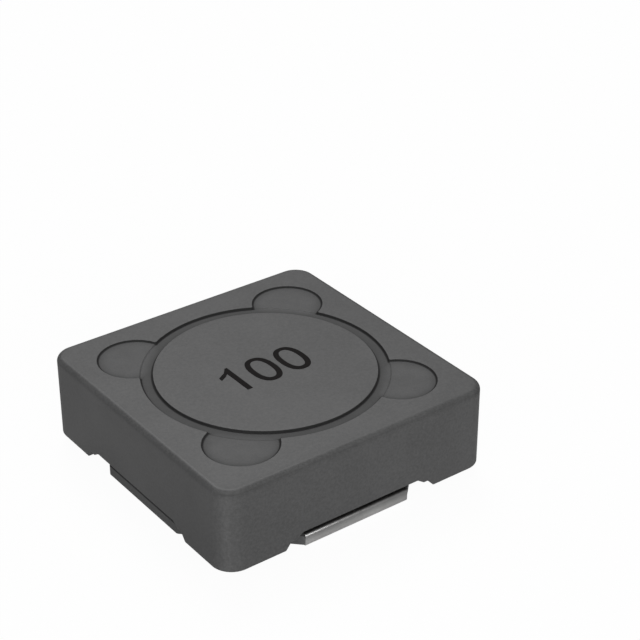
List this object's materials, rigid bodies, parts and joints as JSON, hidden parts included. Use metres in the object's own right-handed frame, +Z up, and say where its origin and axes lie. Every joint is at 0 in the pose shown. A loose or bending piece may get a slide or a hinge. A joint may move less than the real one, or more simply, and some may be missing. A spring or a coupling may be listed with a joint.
{
  "type": "shielded smd inductor",
  "caption": "Square surface-mount power inductor: a wound round-topped ferrite drum bonded into a ferrite shield, with solder pads on its underside.",
  "frame": {"origin": "middle of the footprint, on the plane of the solder pads", "axes": "+Z up, out of the disc's printed face; Y runs from one terminal to the other; X runs along the terminals and along the printed number"},
  "size_m": [0.0126, 0.0126, 0.004],
  "materials": {
    "ferrite": "matte, fine grained, pressed and fired",
    "adhesive": "matte filled resin",
    "terminal": "satin tin plating",
    "solder": "smooth solder",
    "wire": "clear reddish enamel over copper"
  },
  "bodies": {
    "root": {"shield_core": "ferrite", "drum_core": "ferrite", "winding": "wire", "terminal_front": "terminal", "terminal_back": "terminal", "solder_start": "solder", "solder_finish": "solder", "adhesive": "adhesive"}
  },
  "joints": []
}
